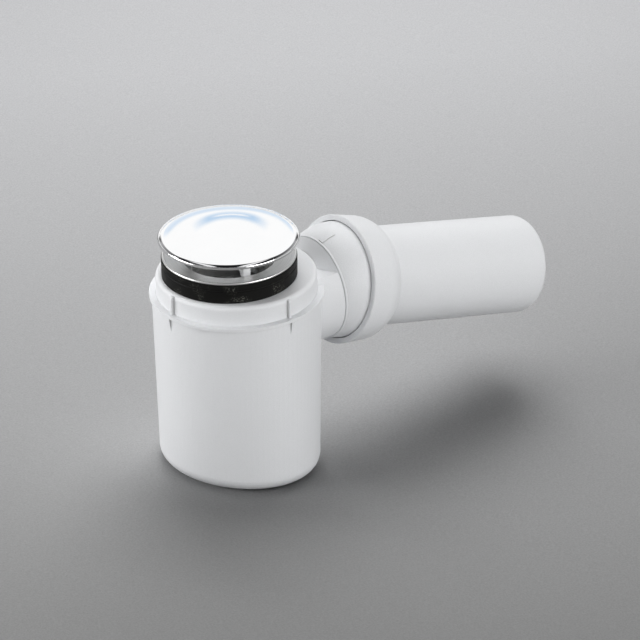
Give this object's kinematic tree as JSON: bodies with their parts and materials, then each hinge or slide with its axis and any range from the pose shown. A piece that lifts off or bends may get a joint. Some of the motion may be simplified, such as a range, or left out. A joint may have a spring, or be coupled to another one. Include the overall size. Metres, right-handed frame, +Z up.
{
  "type": "shower tray waste",
  "caption": "Bottle trap shower waste with a chromed dome cap over a dished flange, a lift-out immersion tube and a side outlet pipe swivelling on a ball.",
  "frame": {"origin": "middle of the underside of the cup's flat, slightly sloping floor", "axes": "+Z up the trap's axis towards the cap, +X along the outlet's neck"},
  "size_m": [0.2237, 0.0858, 0.1326],
  "materials": {
    "white_plastic": "white polypropylene, semi-matt with a fine grain",
    "grey_plastic": "dark grey moulded plastic, semi-matt",
    "black_rubber": "black moulded rubber, dull with light scuffs",
    "satin_steel": "satin stainless sheet with a bright rolled rim",
    "chrome": "polished chrome plate"
  },
  "bodies": {
    "trap": {"trap_cup": "white_plastic", "top_shell": "white_plastic", "lower_seal": "black_rubber", "upper_seal": "black_rubber", "flange_plate": "satin_steel", "clamp_sleeve": "grey_plastic", "outlet_ball": "white_plastic"},
    "liner": {"ball_liner": "white_plastic"},
    "seal": {"lip_seal": "black_rubber"},
    "outlet": {"outlet_pipe": "white_plastic"},
    "tube": {"immersion_tube": "grey_plastic", "tube_o_ring": "black_rubber", "hair_strainer": "grey_plastic"},
    "cap": {"cap_carrier": "white_plastic", "dome_cap": "chrome"}
  },
  "joints": [
    {"name": "outlet_turn", "type": "hinge", "parent": "trap", "child": "liner", "pos_m": [0.061, 0, 0.0817], "axis": [1, 0, 0], "continuous": true},
    {"name": "outlet_tilt", "type": "hinge", "parent": "liner", "child": "seal", "pos_m": [0.061, 0, 0.0817], "axis": [0, 1, 0], "range_deg": [-28.3, 1.7]},
    {"name": "outlet_spin", "type": "hinge", "parent": "seal", "child": "outlet", "pos_m": [0.061, 0, 0.0817], "axis": [0.9732, 0, -0.23], "continuous": true},
    {"name": "tube_lift", "type": "slide", "parent": "trap", "child": "tube", "axis": [0, 0, 1], "range_m": [0, 0.13]},
    {"name": "cap_lift", "type": "slide", "parent": "tube", "child": "cap", "axis": [0, 0, 1], "range_m": [0, 0.05]}
  ]
}
